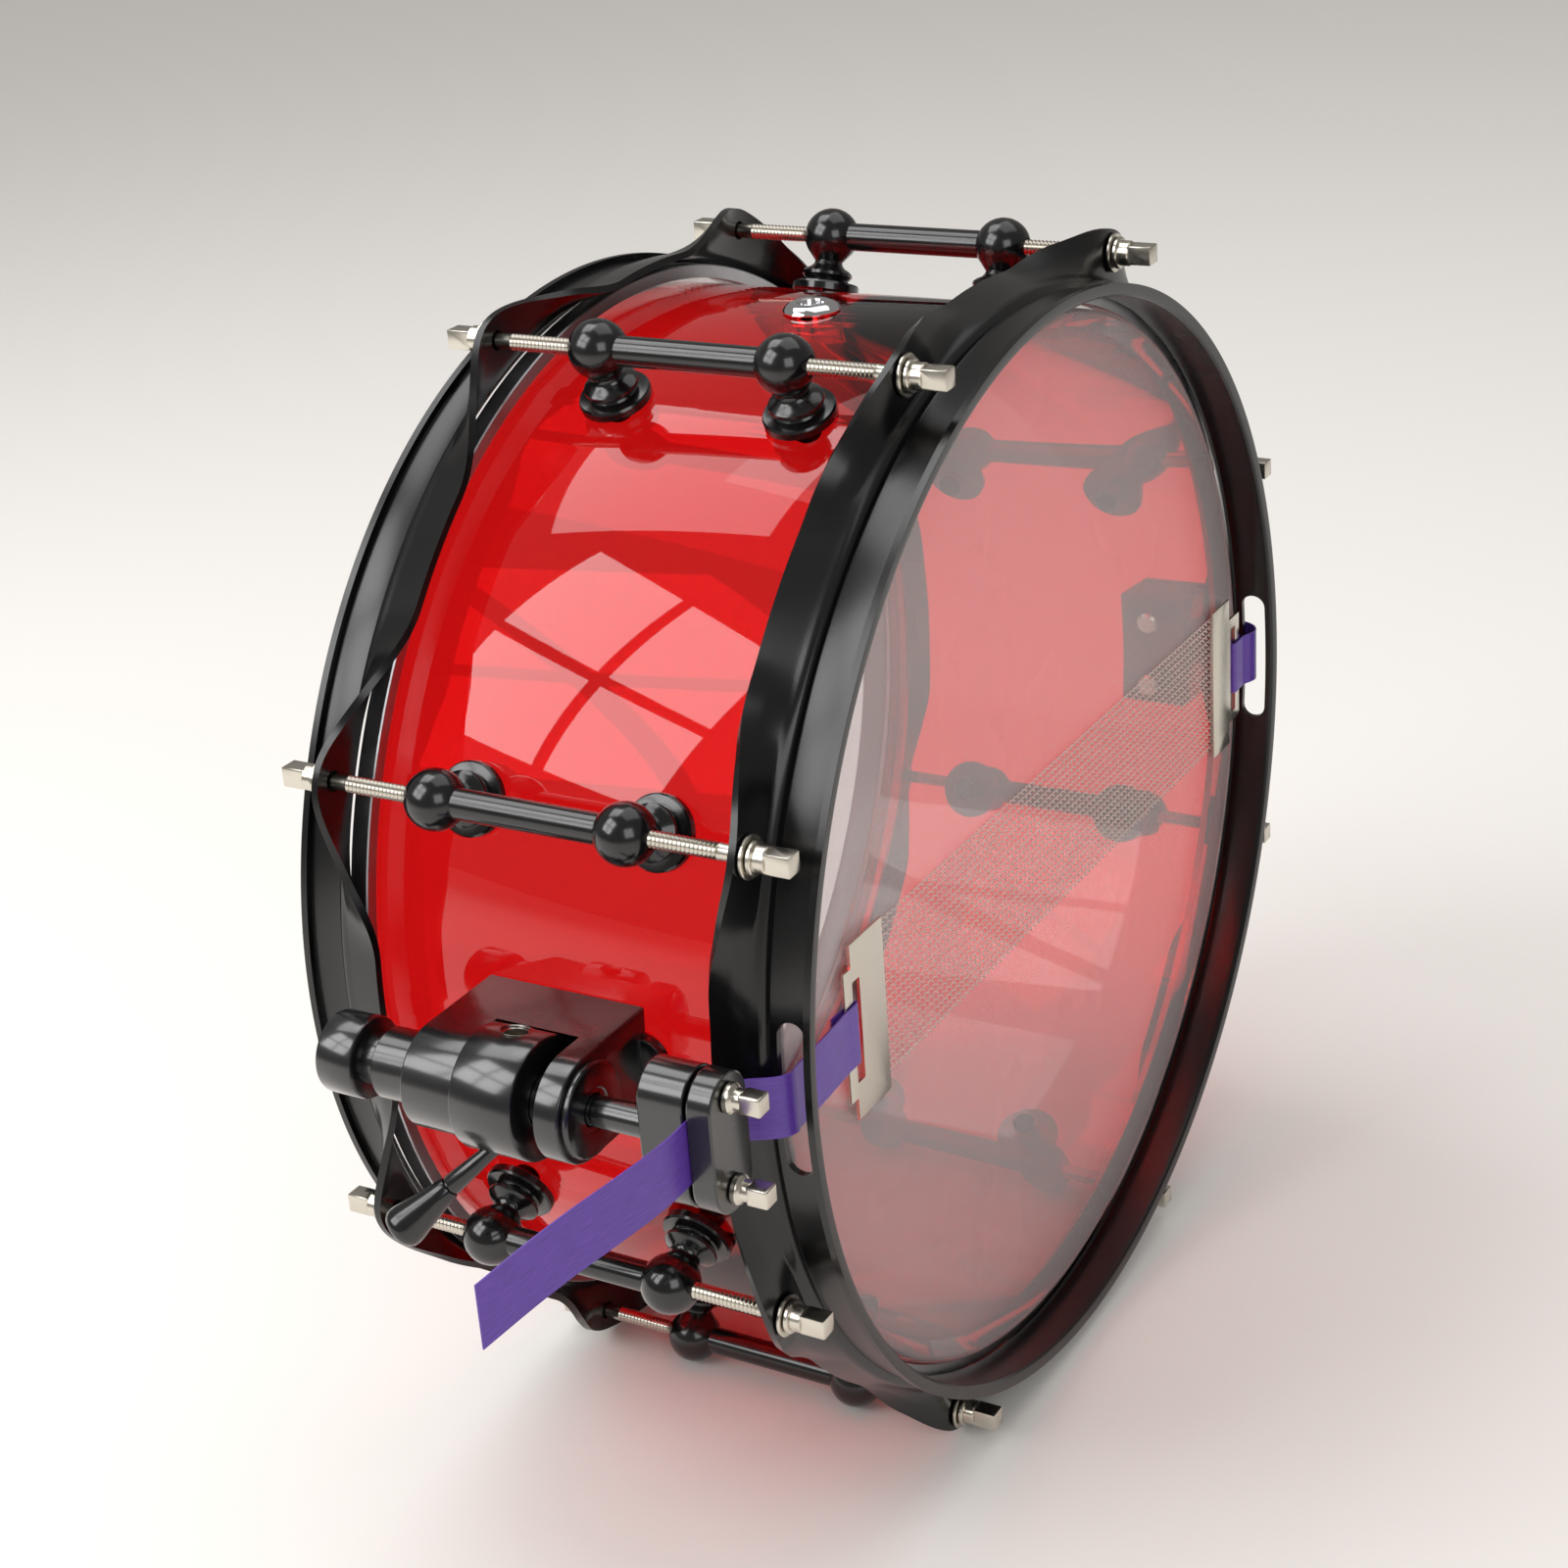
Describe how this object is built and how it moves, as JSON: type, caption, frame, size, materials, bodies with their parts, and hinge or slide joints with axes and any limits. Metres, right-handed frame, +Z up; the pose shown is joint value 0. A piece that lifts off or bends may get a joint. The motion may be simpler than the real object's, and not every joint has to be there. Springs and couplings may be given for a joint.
{
  "type": "snare drum",
  "caption": "Fourteen-inch snare drum with a transparent red acrylic shell, black flanged hoops, ball-ended tube lugs, a side throw-off and snare wires, standing on its hoop ears",
  "frame": {"origin": "centre of the batter head's playing surface", "axes": "+Y along the drum axis out of the batter head; +Z up, with the drum standing on its hoop ears; the strainer is on the -X side"},
  "size_m": [0.4924, 0.1799, 0.3878],
  "materials": {
    "red_acrylic": "transparent polished red acrylic",
    "clear_film": "hazy clear polyester film",
    "grey_ring": "satin",
    "black_hoop": "satin black powder coat",
    "black_lug": "semi-gloss black",
    "black_anodised": "machined, black anodised",
    "nickel": "satin nickel plate",
    "chrome": "polished chrome",
    "steel_wire": "bright drawn wire",
    "purple_ribbon": "satin ribbon"
  },
  "bodies": {
    "drum": {"shell": "red_acrylic", "vent_grommet": "chrome", "vent_nut": "chrome", "batter_head": "clear_film", "batter_head_ring": "grey_ring", "snare_head": "clear_film", "snare_head_ring": "grey_ring", "batter_hoop": "black_hoop", "snare_hoop": "black_hoop", "lug_1": "black_lug", "lug_2": "black_lug", "lug_3": "black_lug", "lug_4": "black_lug", "lug_5": "black_lug", "lug_6": "black_lug", "lug_7": "black_lug", "lug_8": "black_lug", "strainer_block": "black_anodised", "strainer_barrel": "black_anodised", "strainer_end_cap": "black_anodised", "strainer_mount_screw_1": "nickel", "strainer_mount_screw_2": "nickel", "butt_block": "black_anodised", "butt_clamp_plate": "black_anodised", "butt_clamp_screw_upper": "nickel", "butt_clamp_screw_lower": "nickel", "butt_mount_screw_1": "nickel", "butt_mount_screw_2": "nickel", "snare_end_plate_strainer_side": "nickel", "snare_end_plate_butt_side": "nickel", "snare_strands": "steel_wire", "strainer_strap": "purple_ribbon", "butt_strap": "purple_ribbon"},
    "lever": {"lever_collar": "black_anodised", "throw_off_lever": "black_anodised"},
    "clamp": {"clamp_spindle": "black_anodised", "clamp_inner_jaw": "black_anodised", "clamp_outer_jaw": "black_anodised", "clamp_screw_upper": "nickel", "clamp_screw_lower": "nickel"},
    "knob": {"tension_knob": "black_anodised"},
    "batter_tension_rod_1_body": {"batter_tension_rod_1": "nickel"},
    "batter_tension_rod_2_body": {"batter_tension_rod_2": "nickel"},
    "batter_tension_rod_3_body": {"batter_tension_rod_3": "nickel"},
    "batter_tension_rod_4_body": {"batter_tension_rod_4": "nickel"},
    "batter_tension_rod_5_body": {"batter_tension_rod_5": "nickel"},
    "batter_tension_rod_6_body": {"batter_tension_rod_6": "nickel"},
    "batter_tension_rod_7_body": {"batter_tension_rod_7": "nickel"},
    "batter_tension_rod_8_body": {"batter_tension_rod_8": "nickel"},
    "snare_tension_rod_1_body": {"snare_tension_rod_1": "nickel"},
    "snare_tension_rod_2_body": {"snare_tension_rod_2": "nickel"},
    "snare_tension_rod_3_body": {"snare_tension_rod_3": "nickel"},
    "snare_tension_rod_4_body": {"snare_tension_rod_4": "nickel"},
    "snare_tension_rod_5_body": {"snare_tension_rod_5": "nickel"},
    "snare_tension_rod_6_body": {"snare_tension_rod_6": "nickel"},
    "snare_tension_rod_7_body": {"snare_tension_rod_7": "nickel"},
    "snare_tension_rod_8_body": {"snare_tension_rod_8": "nickel"}
  },
  "joints": [
    {"name": "throw_off", "type": "hinge", "parent": "drum", "child": "lever", "pos_m": [-0.209, -0.07655, 0], "axis": [0, 1, 0], "range_deg": [0, 90]},
    {"name": "clamp_slide", "type": "slide", "parent": "drum", "child": "clamp", "axis": [0, -1, 0], "range_m": [0, 0.005], "deforming": ["strainer_strap"]},
    {"name": "knob_turn", "type": "hinge", "parent": "drum", "child": "knob", "pos_m": [-0.209, -0.07655, 0], "axis": [0, 1, 0], "continuous": true},
    {"name": "batter_tension_rod_1_turn", "type": "hinge", "parent": "drum", "child": "batter_tension_rod_1_body", "pos_m": [0.07539, -0.07655, 0.182], "axis": [0, 1, 0], "continuous": true},
    {"name": "batter_tension_rod_2_turn", "type": "hinge", "parent": "drum", "child": "batter_tension_rod_2_body", "pos_m": [-0.07539, -0.07655, 0.182], "axis": [0, 1, 0], "continuous": true},
    {"name": "batter_tension_rod_3_turn", "type": "hinge", "parent": "drum", "child": "batter_tension_rod_3_body", "pos_m": [-0.182, -0.07655, 0.07539], "axis": [0, 1, 0], "continuous": true},
    {"name": "batter_tension_rod_4_turn", "type": "hinge", "parent": "drum", "child": "batter_tension_rod_4_body", "pos_m": [-0.182, -0.07655, -0.07539], "axis": [0, 1, 0], "continuous": true},
    {"name": "batter_tension_rod_5_turn", "type": "hinge", "parent": "drum", "child": "batter_tension_rod_5_body", "pos_m": [-0.07539, -0.07655, -0.182], "axis": [0, 1, 0], "continuous": true},
    {"name": "batter_tension_rod_6_turn", "type": "hinge", "parent": "drum", "child": "batter_tension_rod_6_body", "pos_m": [0.07539, -0.07655, -0.182], "axis": [0, 1, 0], "continuous": true},
    {"name": "batter_tension_rod_7_turn", "type": "hinge", "parent": "drum", "child": "batter_tension_rod_7_body", "pos_m": [0.182, -0.07655, -0.07539], "axis": [0, 1, 0], "continuous": true},
    {"name": "batter_tension_rod_8_turn", "type": "hinge", "parent": "drum", "child": "batter_tension_rod_8_body", "pos_m": [0.182, -0.07655, 0.07539], "axis": [0, 1, 0], "continuous": true},
    {"name": "snare_tension_rod_1_turn", "type": "hinge", "parent": "drum", "child": "snare_tension_rod_1_body", "pos_m": [0.07539, -0.07655, 0.182], "axis": [0, -1, 0], "continuous": true},
    {"name": "snare_tension_rod_2_turn", "type": "hinge", "parent": "drum", "child": "snare_tension_rod_2_body", "pos_m": [-0.07539, -0.07655, 0.182], "axis": [0, -1, 0], "continuous": true},
    {"name": "snare_tension_rod_3_turn", "type": "hinge", "parent": "drum", "child": "snare_tension_rod_3_body", "pos_m": [-0.182, -0.07655, 0.07539], "axis": [0, -1, 0], "continuous": true},
    {"name": "snare_tension_rod_4_turn", "type": "hinge", "parent": "drum", "child": "snare_tension_rod_4_body", "pos_m": [-0.182, -0.07655, -0.07539], "axis": [0, -1, 0], "continuous": true},
    {"name": "snare_tension_rod_5_turn", "type": "hinge", "parent": "drum", "child": "snare_tension_rod_5_body", "pos_m": [-0.07539, -0.07655, -0.182], "axis": [0, -1, 0], "continuous": true},
    {"name": "snare_tension_rod_6_turn", "type": "hinge", "parent": "drum", "child": "snare_tension_rod_6_body", "pos_m": [0.07539, -0.07655, -0.182], "axis": [0, -1, 0], "continuous": true},
    {"name": "snare_tension_rod_7_turn", "type": "hinge", "parent": "drum", "child": "snare_tension_rod_7_body", "pos_m": [0.182, -0.07655, -0.07539], "axis": [0, -1, 0], "continuous": true},
    {"name": "snare_tension_rod_8_turn", "type": "hinge", "parent": "drum", "child": "snare_tension_rod_8_body", "pos_m": [0.182, -0.07655, 0.07539], "axis": [0, -1, 0], "continuous": true}
  ],
  "couplings": [
    {"joint": "clamp_slide", "follows": "throw_off", "m_per_rad": 0.0031831}
  ]
}
